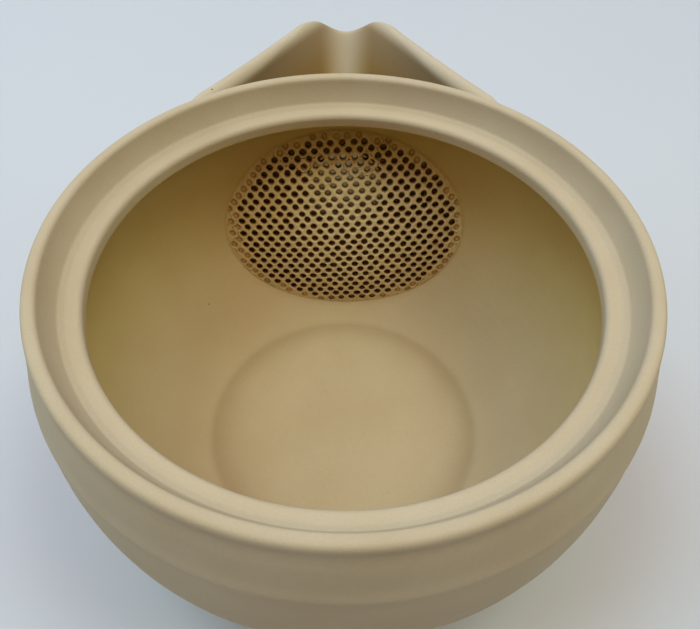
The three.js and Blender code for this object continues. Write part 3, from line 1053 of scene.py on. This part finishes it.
@dataclass
class Strainer:
    """The pierced plate of clay, domed towards the middle of the pot, with fine holes in staggered rows."""

    wall: PotWall
    floor_height: float = 4.0
    foot: float = 2.0
    head: float = 2.3
    throat_drop: float = 8.8
    bulge: float = 4.62
    radius_across: float = 140.0
    thickness: float = 1.6
    sunk: float = 1.3
    hole_diameter: float = 1.43
    hole_spacing: float = 2.338
    row_spacing: float = 1.366
    row_turn: float = 3.76
    first_across: float = 0.32
    first_up: float = 3.65
    open_border: tuple = (2.9, 2.3, 1.2, 1.6)
    blind_border: float = 0.55
    mouth_sizes: tuple = (1.2, 1.02)
    mouth_depths: tuple = (-0.03, 0.07)
    hole_wall: tuple = (0.94, 0.28)
    blind_wall: tuple = (0.8, 0.3)
    far_size: float = 0.78
    size_spread: float = 0.03
    wander: float = 0.07
    seed: int = 5
    side_points: int = 3
    spare_rows: int = 6
    edge_directions: int = 181
    weld_distance: float = 0.01
    # Painted shade: on the blind pits' floors, on the holes' walls behind the front, weaker where the pour
    # hole lights them, and warm shade over the plate.
    pit_shade: float = 0.15
    shade_depths: tuple = (0.02, 0.25)
    light_middle: tuple = (0.0, 34.0)
    light_radius: float = 8.5
    light_fade: float = 1.5
    light_share: float = 0.6
    plate_warm_shade: float = 0.5
    up: Array = field(init=False)
    out: Array = field(init=False)
    crown: Array = field(init=False)
    half_height: float = field(init=False)

    def __post_init__(self) -> None:
        """Work out the plate's own directions from the two points of the wall that it springs from."""
        low = self.floor_height + self.foot
        high = self.wall.rim_height - self.throat_drop - self.head
        ends = np.array([[0.0, float(self.wall.radius(z, self.wall.thickness)), z] for z in (low, high)])
        chord = ends[1] - ends[0]
        self.half_height = float(np.linalg.norm(chord)) / 2
        self.up = chord / np.linalg.norm(chord)
        self.out = np.array([0.0, -self.up[2], self.up[1]])
        self.crown = ends.mean(axis=0) + self.out * self.bulge

    def point(self, across: Array, up: Array, behind: Array) -> Array:
        """A point over the plate, whose front falls away from its crown as the two squares of the distances.

        Args:
            across: Distance from the crown, sideways.
            up: Distance from the crown, up the plate.
            behind: Depth behind the front face.

        Returns:
            The points.
        """
        upright = self.half_height**2 / (2 * self.bulge)
        fall = across**2 / (2 * self.radius_across) + up**2 / (2 * upright)
        along = np.stack([across, 0.0 * across, 0.0 * across], axis=-1)
        return self.crown + along + up[..., None] * self.up - (fall + behind)[..., None] * self.out

    def front(self, size: Array, angle: Array) -> Array:
        """Points of the front at a distance from the crown, in given directions."""
        return self.point(size * np.cos(angle), size * np.sin(angle), 0.0 * size)

    def seam_size(self, angle: Array) -> Array:
        """Distance from the crown to the seam with the inner wall.

        Args:
            angle: Directions, seen along the plate's axis.

        Returns:
            The distances.
        """

        def outside(size: Array) -> Array:
            """How far a point of the front lies outside the inner wall."""
            return self.wall.proud(self.front(size, angle), self.wall.thickness)

        return bisect(outside, np.zeros_like(angle), np.full_like(angle, self.wall.belly_radius))

    def centres(self) -> tuple:
        """Centres of the plate's cells, in rows that alternate by half a spacing.

        Returns:
            Across and up of each centre, and the distance from the crown to the seam in its direction.
        """
        count = int(2 * self.half_height / self.row_spacing) + self.spare_rows
        row, place = np.meshgrid(np.arange(-count, count + 1), np.arange(-count, count + 1), indexing="ij")
        x = self.hole_spacing * (place + 0.5 * (row % 2))
        y = self.row_spacing * row
        turn = np.radians(self.row_turn)
        across = x * np.cos(turn) - y * np.sin(turn) + self.first_across
        up = x * np.sin(turn) + y * np.cos(turn) + self.first_up
        centres = np.stack([across.ravel(), up.ravel()], axis=-1)
        seam = self.seam_size(np.arctan2(centres[:, 1], centres[:, 0]))
        keep = np.linalg.norm(centres, axis=1) < seam + self.sunk + self.hole_spacing
        return centres[keep], seam[keep]

    def open_cells(self, centres: Array) -> Array:
        """Choose the cells that are pierced through: those inside an oval with its own border on each side.

        Args:
            centres: Across and up of each centre.

        Returns:
            True for a pierced cell.
        """
        half_width = float(self.seam_size(np.array([0.0]))[0])
        left, right, foot, head = self.open_border
        across = (centres[:, 0] - (left - right) / 2) / (half_width - (left + right) / 2)
        upright = (centres[:, 1] - (foot - head) / 2) / (self.half_height - (foot + head) / 2)
        return np.hypot(across, upright) < 1.0

    def cell_outline(self) -> Array:
        """Corners and side points of one cell: the hexagon of points nearest to one centre of the lattice.

        Returns:
            Across and up of its points, counter-clockwise, turned as the rows are.
        """
        corners = hexagon(self.hole_spacing / 2, self.row_spacing)
        share = np.arange(self.side_points)[None, :, None] / self.side_points
        outline = corners[:, None] + (np.roll(corners, -1, axis=0) - corners)[:, None] * share
        turn = np.radians(self.row_turn)
        rotation = np.array([[np.cos(turn), np.sin(turn)], [-np.sin(turn), np.cos(turn)]])
        return outline.reshape(-1, 2) @ rotation

    def build(self) -> Piece:
        """Lay one cell per centre: a flat border, a soft mouth, the hole's wall and the back, as rings.

        Returns:
            The strainer's object.
        """
        centres, seam = self.centres()
        pierced = self.open_cells(centres)
        blind = ~pierced & (np.linalg.norm(centres, axis=1) < seam - self.blind_border)
        border = centres[:, None, :] + self.cell_outline()[None, :, :]
        middle, circle = self.holes(centres)
        holed = np.where(pierced | blind, 1.0, 0.0)
        wall_size, blind_size = self.hole_wall[0], self.blind_wall[0]
        sizes = [*self.mouth_sizes, np.where(blind, blind_size, wall_size)[:, None, None], self.far_size]
        depths = [depth * holed for depth in self.mouth_depths]
        depths += [np.where(pierced, self.hole_wall[1], self.blind_wall[1] * holed), self.thickness]
        rings = [border] + [middle + circle * size for size in sizes] + [border]
        place = self.draw_in(np.stack(rings, axis=1))
        depths = [0.0] + depths + [self.thickness]
        levels = np.stack([depth + np.zeros(len(centres)) for depth in depths], axis=1)
        deep = np.broadcast_to(levels[..., None], place.shape[:-1])
        return self.join(self.point(place[..., 0], place[..., 1], deep), pierced, deep)

    def holes(self, centres: Array) -> tuple:
        """Middles and outlines of the holes, each a little off its place, its size and its roundness.

        Args:
            centres: Across and up of each cell's centre.

        Returns:
            The middles, and for each a ring of points about it, one in the direction of each border point.
        """
        rng = np.random.default_rng(self.seed)
        cells = len(centres)
        radius = self.hole_diameter / 2 * (1.0 + self.size_spread * rng.standard_normal(cells))
        shift = self.wander * rng.standard_normal((cells, 2))
        stretch = 1.0 + self.size_spread * rng.standard_normal(cells)
        outline = self.cell_outline()
        angle = np.arctan2(outline[:, 1], outline[:, 0])
        circle = np.stack([np.cos(angle), np.sin(angle)], axis=-1)
        oval = circle[None, :, :] * np.stack([stretch, 1.0 / stretch], axis=-1)[:, None, :]
        return (centres + shift)[:, None, :], oval * radius[:, None, None]

    def draw_in(self, place: Array) -> Array:
        """Draw what lies far outside the seam in to a line inside the pot's wall.

        Args:
            place: Across and up of every point.

        Returns:
            The drawn-in places.
        """
        angle = np.arctan2(place[..., 1], place[..., 0])
        size = np.hypot(place[..., 0], place[..., 1])
        directions = np.linspace(-np.pi, np.pi, self.edge_directions)
        limit = np.interp(angle, directions, self.seam_size(directions) + self.sunk)
        return place * np.where(size > limit, limit / np.maximum(size, LEAST_SIZE), 1.0)[..., None]

    def join(self, points: Array, pierced: Array, deep: Array) -> Piece:
        """Make the faces of all cells, close the unpierced ones by fans and weld the shared borders.

        Args:
            points: Points by cell, ring and place round the ring.
            pierced: Which cells are pierced through.
            deep: Depth of every point behind the front.

        Returns:
            The strainer's object.
        """
        cells, rings, count = points.shape[:3]
        base = np.arange(cells) * rings * count
        faces = base[:, None, None] + grid_faces(rings, count, False, True)[None, :, :]
        faces = faces.reshape(cells, rings - 1, count, 4)
        shut = np.flatnonzero(~pierced)
        quads = [faces[pierced].reshape(-1, 4), faces[shut][:, : rings - 3].reshape(-1, 4)]
        points, deep = points.reshape(-1, 3), deep.reshape(-1)
        # The pit's floor is the third ring from the end, and the edge of the back is the last.
        around = np.arange(count)
        pit, back = ((base[shut] + (rings - skipped) * count)[:, None] + around for skipped in (3, 1))
        hubs = len(points) + np.arange(2 * len(shut)).reshape(2, -1, 1) + np.zeros(count, int)
        pit_fans = np.stack([pit, np.roll(pit, -1, axis=1), hubs[0]], axis=-1)
        back_fans = np.stack([np.roll(back, -1, axis=1), back, hubs[1]], axis=-1)
        everything = np.concatenate([points, points[pit].mean(axis=1), points[back].mean(axis=1)])
        fans = np.concatenate([pit_fans, back_fans]).reshape(-1, 3)
        piece = make_object("pierced_strainer", everything, np.concatenate(quads), fans)
        # Painted shade: the holes' walls and the blind pits' floors are darkened.
        hub_shade = np.repeat([self.pit_shade, 0.0], len(shut))
        store_share(piece, Mark.DEEP_SHADE, np.concatenate([self.hole_shade(points, deep), hub_shade]))
        weld(piece, self.weld_distance)
        # Painted warm shade over the plate, by height as on the pot's inside.
        store_share(piece, Mark.WARM_SHADE, self.plate_warm_shade * self.wall.shelter(mesh_points(piece)[:, 2]))
        return piece

    def hole_shade(self, points: Array, deep: Array) -> Array:
        """Painted shade on the holes' walls: full a little behind the front, weaker where the pour hole
        lights them.

        Args:
            points: The points, one row each.
            deep: Their depth behind the front.

        Returns:
            From 0 to 1.
        """
        away = np.hypot(points[:, 0] - self.light_middle[0], points[:, 2] - self.light_middle[1])
        near, far = self.light_radius - self.light_fade, self.light_radius + self.light_fade
        lit = 1.0 - smooth_step(away, near, far)
        return smooth_step(deep, *self.shade_depths) * (1.0 - self.light_share * lit)


@dataclass
class StrainerSeam:
    """The thin coil of clay wiped into the corner between strainer and wall."""

    strainer: Strainer
    width: float = 0.42
    bend_share: float = 0.18
    back_reach: float = 0.4
    back_lift: float = 0.1
    steps: int = 240
    fillet_points: int = 9

    def build(self) -> Piece:
        """Lay a hollow fillet round the seam, from a line on the plate to one on the wall, closed behind.

        Returns:
            The seam's object.
        """
        wall = self.strainer.wall
        angle = np.linspace(-np.pi, np.pi, self.steps, endpoint=False)
        seam = self.strainer.seam_size(angle)
        corner = self.strainer.front(seam, angle)
        inner = self.strainer.front(seam - self.width, angle)
        outer = wall.onto(corner + self.strainer.out * self.width, wall.thickness)
        behind = (corner + self.back_reach * (corner - inner)) + (outer - inner) * self.back_lift
        rings = fillet(corner, inner, outer, behind, self.bend_share, self.fillet_points)
        quads = grid_faces(self.steps, rings.shape[1], True, True)
        piece = make_object("strainer_seam", rings.reshape(-1, 3), quads)
        weld(piece)
        # Painted warm shade, by height as on the pot's inside.
        store_share(piece, Mark.WARM_SHADE, wall.shelter(mesh_points(piece)[:, 2]))
        return piece


@dataclass
class SpoutSeam:
    """The coil of clay wiped smooth into the corner between spout and body, outside."""

    spout: Spout
    width: float = 2.2
    least_width: float = 0.25
    spout_width: float = 1.1
    bend_share: float = 0.1
    root_depth: float = 0.6
    margin: float = 16.0
    steps: int = 200
    fillet_points: int = 11

    def build(self) -> Piece:
        """Lay a hollow fillet along the seam, down one side of the spout and up the other, with closed ends.

        Returns:
            The seam's object.
        """
        spout, wall = self.spout, self.spout.wall
        turn = np.radians(np.linspace(self.margin, 180.0 - self.margin, self.steps))

        def outside(reach: Array) -> Array:
            """How far a point of the outer face lies outside the wall."""
            return wall.proud(spout.surface(reach, turn, Face.OUTER))

        reach = bisect(outside, np.full_like(turn, spout.first_reach), np.full_like(turn, spout.last_reach))
        corner = spout.surface(reach, turn, Face.OUTER)
        fade = np.sin(np.linspace(0.0, np.pi, self.steps)) ** 0.5
        width = self.width * blend(self.least_width, 1.0, fade)
        on_spout = spout.surface(reach + width * self.spout_width, turn, Face.OUTER)
        nx, nz = spout.normal(spout.section(reach), turn, Face.OUTER)
        away = np.stack([nx, 0.0 * nx, nz], axis=-1)
        on_wall = wall.onto(corner + away * width[:, None])
        inward = -corner * np.array([1.0, 1.0, 0.0]) / np.hypot(corner[:, 0], corner[:, 1])[:, None]
        behind = corner + inward * self.root_depth
        rings = fillet(corner, on_spout, on_wall, behind, self.bend_share, self.fillet_points)
        columns = rings.shape[1]
        ends = []
        for row in (0, self.steps - 1):
            ring = row * columns + np.arange(columns)
            ends.append(np.stack([np.full(columns - 2, ring[0]), ring[1:-1], ring[2:]], axis=-1))
        quads = grid_faces(self.steps, columns, False, True)
        piece = make_object("spout_seam", rings.reshape(-1, 3), quads, np.concatenate(ends))
        weld(piece)
        return piece


class ClayPart(Enum):
    """Which piece a clay finish is for."""

    BODY = "body"
    SPOUT = "spout"
    STRAINER = "strainer"
    SEAM = "seam"


class Blend(Enum):
    """How a colour is laid over another."""

    MIX = "MIX"
    MULTIPLY = "MULTIPLY"


class Sum(Enum):
    """What is worked out from two numbers."""

    MULTIPLY = "MULTIPLY"
    LESS_THAN = "LESS_THAN"


def feed(tree: Tree, socket: Socket, source: Source) -> None:
    """Link a node's output to a socket, or set the socket to a number or a colour.

    Args:
        tree: The material's nodes.
        socket: The input.
        source: An output socket, a number, or red, green and blue.
    """
    if isinstance(source, Socket):
        tree.links.new(source, socket)
    else:
        socket.default_value = (*source, 1.0) if isinstance(source, tuple) else source


@dataclass(frozen=True)
class Clay:
    """Unglazed matt clay: a warm cream with soft mottling, a fine grain and sparse brown specks.

    It is yellower by the piece's stored painted warm shade and darker by its stored painted deep shade.
    """

    part: ClayPart
    colour: tuple = (0.56, 0.47, 0.32)
    dark_share: tuple = (0.9393, 0.91605, 0.8742)
    grain_shade: tuple = (0.93, 0.93, 0.92)
    warm_shade_share: tuple = (1.0, 0.87, 0.45)
    deep_shade_share: tuple = (0.5, 0.42, 0.3)
    roughness: float = 0.82
    roughness_spread: float = 0.08
    specular: float = 0.25
    mottle_size: float = 14.0
    mottle_detail: float = 3.0
    mottle_range: tuple = (0.3, 0.7)
    grain_size: float = 0.35
    grain_detail: float = 4.0
    grain_range: tuple = (0.25, 0.75)
    grain_depth: float = 0.03
    speck_colour: tuple = (0.16, 0.10, 0.05)
    speck_cell: float = 4.2
    speck_share: float = 0.10
    speck_size: float = 0.06
    speck_core: float = 0.5

    def material(self) -> bpy.types.Material:
        """Build the finish on Object coordinates and on the piece's two stored shares.

        Returns:
            The material.
        """
        material = bpy.data.materials.new("clay_" + self.part.value)
        material.use_nodes = True
        tree = material.node_tree
        shader = tree.nodes["Principled BSDF"]
        shader.inputs["Specular IOR Level"].default_value = self.specular
        place = tree.nodes.new("ShaderNodeTexCoord").outputs["Object"]
        mottle = self.noise(tree, place, self.mottle_size, self.mottle_detail)
        grain = self.noise(tree, place, self.grain_size, self.grain_detail)
        dark = tuple(c * share for c, share in zip(self.colour, self.dark_share))
        colour = self.ramp(tree, mottle, self.mottle_range, (dark, self.colour))
        shade = self.ramp(tree, grain, self.grain_range, (self.grain_shade, (1.0, 1.0, 1.0)))
        colour = self.mix(tree, Blend.MULTIPLY, 1.0, colour, shade)
        # Painted shade: the two stored shares yellow and darken the colour where the piece lies in shade.
        for mark, share in ((Mark.WARM_SHADE, self.warm_shade_share), (Mark.DEEP_SHADE, self.deep_shade_share)):
            stored = tree.nodes.new("ShaderNodeAttribute")
            stored.attribute_name = mark.value
            colour = self.mix(tree, Blend.MULTIPLY, stored.outputs["Fac"], colour, share)
        colour = self.mix(tree, Blend.MIX, self.speck_mask(tree, place), colour, self.speck_colour)
        feed(tree, shader.inputs["Base Color"], colour)
        rough = tree.nodes.new("ShaderNodeMapRange")
        rough.inputs["To Min"].default_value = self.roughness - self.roughness_spread
        rough.inputs["To Max"].default_value = self.roughness + self.roughness_spread
        feed(tree, rough.inputs["Value"], grain)
        feed(tree, shader.inputs["Roughness"], rough.outputs["Result"])
        bump = tree.nodes.new("ShaderNodeBump")
        bump.inputs["Distance"].default_value = self.grain_depth * MM
        feed(tree, bump.inputs["Height"], grain)
        feed(tree, shader.inputs["Normal"], bump.outputs["Normal"])
        return material

    def mix(self, tree: Tree, kind: Blend, factor: Source, first: Source, second: Source) -> Socket:
        """Mix or multiply two colours.

        Args:
            tree: The material's nodes.
            kind: How the second is laid over the first.
            factor: How much of the second, a number or a socket.
            first: A colour or a socket.
            second: A colour or a socket.

        Returns:
            The mixed colour's socket.
        """
        node = tree.nodes.new("ShaderNodeMix")
        node.data_type = "RGBA"
        node.blend_type = kind.value
        for place, source in zip(MIX_INPUTS, (factor, first, second)):
            feed(tree, node.inputs[place], source)
        return node.outputs[MIX_OUTPUT]

    def ramp(self, tree: Tree, value: Socket, limits: tuple, colours: tuple) -> Socket:
        """Colour that runs from one to another between two values.

        Args:
            tree: The material's nodes.
            value: The value that is read.
            limits: The lower and the upper value.
            colours: The colour at each of them.

        Returns:
            The colour's socket.
        """
        node = tree.nodes.new("ShaderNodeValToRGB")
        for element, position, colour in zip(node.color_ramp.elements, limits, colours):
            element.position = position
            element.color = (*colour, 1.0)
        feed(tree, node.inputs["Fac"], value)
        return node.outputs["Color"]

    def noise(self, tree: Tree, place: Socket, size: float, detail: float) -> Socket:
        """Noise with features of a size.

        Args:
            tree: The material's nodes.
            place: Object coordinates.
            size: Of its features, in millimetres.
            detail: How many finer layers it has.

        Returns:
            The noise's value.
        """
        node = tree.nodes.new("ShaderNodeTexNoise")
        node.inputs["Scale"].default_value = 1.0 / (size * MM)
        node.inputs["Detail"].default_value = detail
        feed(tree, node.inputs["Vector"], place)
        return node.outputs["Fac"]

    def speck_mask(self, tree: Tree, place: Socket) -> Socket:
        """Small spots in a few of the cells of an irregular pattern.

        Args:
            tree: The material's nodes.
            place: Object coordinates.

        Returns:
            1 in a speck and 0 elsewhere.
        """
        cells = tree.nodes.new("ShaderNodeTexVoronoi")
        cells.inputs["Scale"].default_value = 1.0 / (self.speck_cell * MM)
        feed(tree, cells.inputs["Vector"], place)
        near = tree.nodes.new("ShaderNodeMapRange")
        near.inputs["From Min"].default_value = self.speck_size
        near.inputs["From Max"].default_value = self.speck_size * self.speck_core
        feed(tree, near.inputs["Value"], cells.outputs["Distance"])
        split = tree.nodes.new("ShaderNodeSeparateColor")
        feed(tree, split.inputs["Color"], cells.outputs["Color"])
        chosen = self.calculate(tree, Sum.LESS_THAN, split.outputs["Red"], self.speck_share)
        return self.calculate(tree, Sum.MULTIPLY, near.outputs["Result"], chosen)

    def calculate(self, tree: Tree, operation: Sum, first: Source, second: Source) -> Socket:
        """Work out a number from two.

        Args:
            tree: The material's nodes.
            operation: What is worked out.
            first: A number or a socket.
            second: A number or a socket.

        Returns:
            The result's socket.
        """
        node = tree.nodes.new("ShaderNodeMath")
        node.operation = operation.value
        feed(tree, node.inputs[0], first)
        feed(tree, node.inputs[1], second)
        return node.outputs["Value"]


@dataclass(frozen=True)
class SoftLight:
    """A square area light that faces the pot. Metres; the strengths are watts of red, green and blue."""

    name: str
    place: tuple
    size: float
    strength: tuple
    aim: tuple = (0.0, 0.0, 0.03)

    def hang(self) -> None:
        """Put the light in the scene."""
        power = max(self.strength)
        data = bpy.data.lights.new(self.name, "AREA")
        data.size = self.size
        data.energy = power
        data.color = tuple(part / power for part in self.strength)
        light = bpy.data.objects.new(self.name, data)
        light.location = self.place
        towards = Vector(self.aim) - Vector(self.place)
        light.rotation_euler = towards.to_track_quat("-Z", "Y").to_euler()
        bpy.context.scene.collection.objects.link(light)


@dataclass
class Studio:
    """A plain pale floor, soft light from above and all round, and a camera at the photographed angle."""

    lights: tuple = (
        SoftLight("overhead_light", (0.0, 0.0, 1.1), 1.0, (3.4, 1.9, 1.5)),
        SoftLight("high_left_light", (-0.4, 0.0, 1.05), 0.4, (2.0, 3.3, 3.9)),
        SoftLight("high_right_light", (0.4, 0.0, 1.05), 0.4, (3.2, 3.7, 3.1)),
        SoftLight("left_light", (-0.9, 0.0, 0.65), 0.7, (2.2, 2.6, 3.0)),
        SoftLight("right_light", (0.9, 0.0, 0.65), 0.7, (2.1, 2.3, 2.2)),
        SoftLight("front_light", (0.0, -0.65, 0.95), 0.8, (1.6, 0.9, 0.3)),
        SoftLight("rear_light", (0.0, 0.65, 0.95), 0.8, (1.4, 1.2, 2.0)),
        SoftLight("rear_left_light", (-0.6, 0.6, 0.7), 0.6, (1.6, 1.9, 2.1)),
    )
    world_colour: tuple = (0.93, 0.97, 1.0)
    world_strength: float = 0.01
    floor_colour: tuple = (0.60, 0.635, 0.665)
    floor_roughness: float = 0.7
    floor_specular: float = 0.2
    floor_size: float = 6.0
    camera_place: tuple = (-0.000386, -0.073790, 0.128195)
    camera_view: tuple = (0.01105774, 0.638098, -0.76987575)
    camera_right: tuple = (0.9999206, -0.0024034, 0.01236987)
    focal_pixels: float = 700.0
    sensor: float = 36.0
    near_clip: float = 0.005

    def build(self) -> None:
        """Make the floor, the lights, the world and the camera."""
        self.add_floor()
        for light in self.lights:
            light.hang()
        world = bpy.data.worlds.new("studio_world")
        bpy.context.scene.world = world
        world.use_nodes = True
        background = world.node_tree.nodes["Background"]
        background.inputs["Color"].default_value = (*self.world_colour, 1.0)
        background.inputs["Strength"].default_value = self.world_strength
        self.add_camera()
        bpy.context.scene.view_settings.view_transform = "Standard"

    def add_floor(self) -> None:
        """Lay the floor under the pot."""
        half = self.floor_size / 2 / MM
        corners = np.array([[-half, -half, 0.0], [half, -half, 0.0], [half, half, 0.0], [-half, half, 0.0]])
        floor = make_object("studio_floor", corners, np.array([[0, 1, 2, 3]]))
        material = bpy.data.materials.new("pale_table")
        material.use_nodes = True
        shader = material.node_tree.nodes["Principled BSDF"]
        shader.inputs["Base Color"].default_value = (*self.floor_colour, 1.0)
        shader.inputs["Roughness"].default_value = self.floor_roughness
        shader.inputs["Specular IOR Level"].default_value = self.floor_specular
        floor.data.materials.append(material)

    def add_camera(self) -> None:
        """Place the camera that was worked out from the circles of rim, ledge, mouth and floor."""
        data = bpy.data.cameras.new("photo_camera")
        data.sensor_fit = "HORIZONTAL"
        data.sensor_width = self.sensor
        data.lens = self.focal_pixels / IMAGE_WIDTH * self.sensor
        data.clip_start = self.near_clip
        camera = bpy.data.objects.new("photo_camera", data)
        back = -Vector(self.camera_view).normalized()
        right = Vector(self.camera_right).normalized()
        up = back.cross(right).normalized()
        right = up.cross(back)
        turn = Matrix((right, up, back)).transposed()
        camera.matrix_world = Matrix.Translation(self.camera_place) @ turn.to_4x4()
        bpy.context.scene.collection.objects.link(camera)
        bpy.context.scene.camera = camera


def main() -> None:
    """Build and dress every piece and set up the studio."""
    logging.basicConfig(level=logging.INFO, format="%(message)s")
    wall = PotWall()
    spout = Spout(wall)
    strainer = Strainer(wall)
    dress(BodyBowl(wall).build(), "body_bowl", Clay(ClayPart.BODY).material())
    beak = Clay(ClayPart.SPOUT, colour=(0.6, 0.52, 0.375), speck_share=0.05)
    dress(spout.build(), "spout", beak.material())
    # The plate's painted shade share, and its clay: a lighter, yellower copy of the body's that paints light
    # onto the plate inside the pot.
    plate_shade = (0.6, 0.42, 0.22)
    plate = Clay(ClayPart.STRAINER, colour=(0.68, 0.59, 0.385), deep_shade_share=plate_shade, speck_share=0.0)
    dress(strainer.build(), "strainer", plate.material())
    seam = Clay(ClayPart.SEAM, speck_share=0.03).material()
    dress(StrainerSeam(strainer).build(), "strainer_luting_bead", seam)
    dress(SpoutSeam(spout).build(), "spout_luting_bead", seam)
    Studio().build()


if __name__ == "__main__":
    main()
